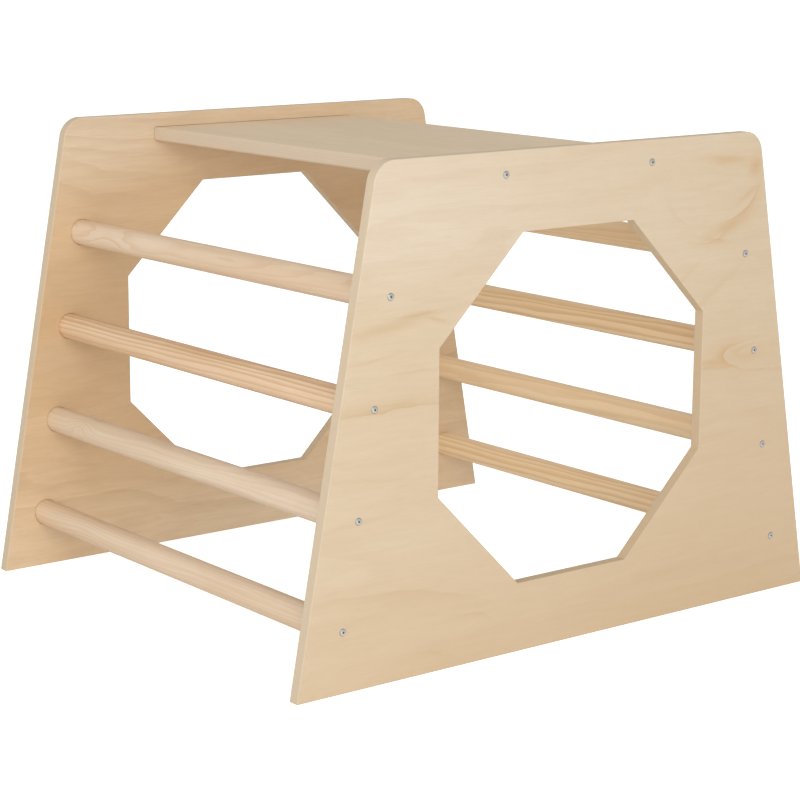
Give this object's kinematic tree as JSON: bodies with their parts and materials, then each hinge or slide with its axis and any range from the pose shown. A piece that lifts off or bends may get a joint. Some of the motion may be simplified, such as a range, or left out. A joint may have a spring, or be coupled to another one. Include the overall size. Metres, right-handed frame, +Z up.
{
  "type": "monkey bars",
  "caption": "Free-standing wooden climbing frame for toddlers: two plywood side panels with octagonal crawl-through holes, joined by round rungs and a platform board.",
  "frame": {"origin": "on the floor, at the middle of the base", "axes": "+X along the panels towards the right-hand rungs, +Y from the front panel to the back panel, +Z up"},
  "size_m": [0.822, 0.6864, 0.6],
  "materials": {
    "panel_plywood": "satin clear lacquer on birch plywood",
    "platform_plywood": "satin clear lacquer on plywood",
    "pale_rung_wood": "sanded smooth, pale hardwood",
    "striped_rung_wood": "sanded smooth, with strong straight grain",
    "screw_steel": "bright zinc plate"
  },
  "bodies": {
    "root": {"front_panel": "panel_plywood", "back_panel": "panel_plywood", "platform": "platform_plywood", "left_rung_1": "pale_rung_wood", "left_rung_2": "striped_rung_wood", "left_rung_3": "pale_rung_wood", "left_rung_4": "pale_rung_wood", "right_rung_1": "striped_rung_wood", "right_rung_2": "striped_rung_wood", "right_rung_3": "striped_rung_wood", "right_rung_4": "striped_rung_wood", "front_screw_left_rung_1": "screw_steel", "front_screw_left_rung_2": "screw_steel", "front_screw_left_rung_3": "screw_steel", "front_screw_left_rung_4": "screw_steel", "front_screw_right_rung_1": "screw_steel", "front_screw_right_rung_2": "screw_steel", "front_screw_right_rung_3": "screw_steel", "front_screw_right_rung_4": "screw_steel", "front_screw_left_platform": "screw_steel", "front_screw_right_platform": "screw_steel", "back_screw_left_rung_1": "screw_steel", "back_screw_left_rung_2": "screw_steel", "back_screw_left_rung_3": "screw_steel", "back_screw_left_rung_4": "screw_steel", "back_screw_right_rung_1": "screw_steel", "back_screw_right_rung_2": "screw_steel", "back_screw_right_rung_3": "screw_steel", "back_screw_right_rung_4": "screw_steel", "back_screw_left_platform": "screw_steel", "back_screw_right_platform": "screw_steel"}
  },
  "joints": []
}
